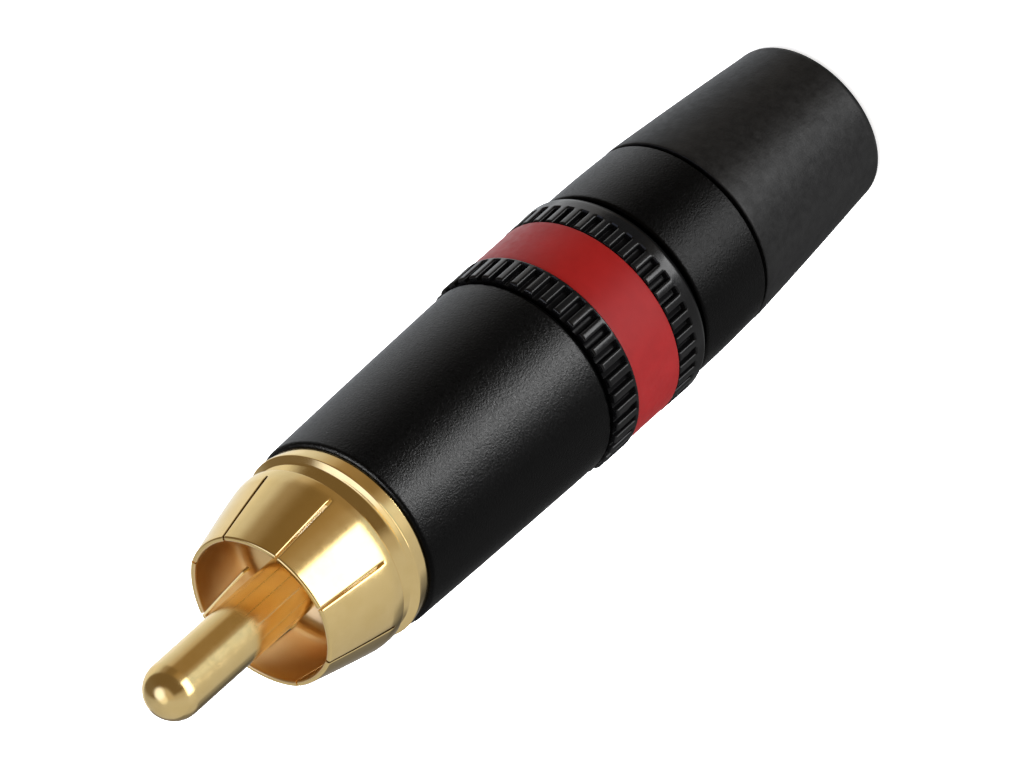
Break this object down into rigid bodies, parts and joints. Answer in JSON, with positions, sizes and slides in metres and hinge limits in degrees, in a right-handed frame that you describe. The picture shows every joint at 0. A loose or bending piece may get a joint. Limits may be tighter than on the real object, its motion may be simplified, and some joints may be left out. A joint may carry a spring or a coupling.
{
  "type": "rca plug",
  "caption": "Phono cable plug with gold pin and slotted ground sleeve, black metal shells, knurled bands, red coding ring and soft cable boot; the back unscrews for soldering.",
  "frame": {"origin": "centre of the boot's end face, on which the plug stands", "axes": "+Z along the plug's axis from the boot to the tip of the pin; +X runs through the chuck's keys"},
  "size_m": [0.012, 0.012, 0.0545],
  "materials": {
    "gold_pin": "polished gold plating",
    "gold_sleeve": "polished gold plating over fine turning marks",
    "insulator": "natural moulded plastic",
    "spring_steel": "bright spring steel",
    "tinned_brass": "dull tin plating",
    "black_lacquer": "satin black lacquer with a fine grain",
    "black_moulding": "glossy moulded plastic",
    "red_moulding": "satin moulded plastic",
    "chuck_moulding": "natural moulded plastic",
    "boot_rubber": "matt soft rubber with a faint mottle"
  },
  "bodies": {
    "back": {"back_nut": "black_moulding", "rear_sleeve": "black_lacquer", "boot": "boot_rubber"},
    "chuck": {"chuck": "chuck_moulding"},
    "front": {"center_pin": "gold_pin", "pin_insulator": "insulator", "pin_retainer": "spring_steel", "ground_sleeve": "gold_sleeve", "ground_tag": "tinned_brass", "front_shell": "black_lacquer", "contact_body": "black_moulding", "colour_ring": "red_moulding"}
  },
  "joints": [
    {"name": "unscrew_turn", "type": "hinge", "parent": "back", "child": "chuck", "pos_m": [0, 0, 0.016], "axis": [0, 0, 1], "range_deg": [0, 2160]},
    {"name": "unscrew_lift", "type": "slide", "parent": "chuck", "child": "front", "axis": [0, 0, 1], "range_m": [0, 0.0045]}
  ],
  "couplings": [
    {"joint": "unscrew_lift", "follows": "unscrew_turn", "m_per_rad": 0.00011937}
  ]
}
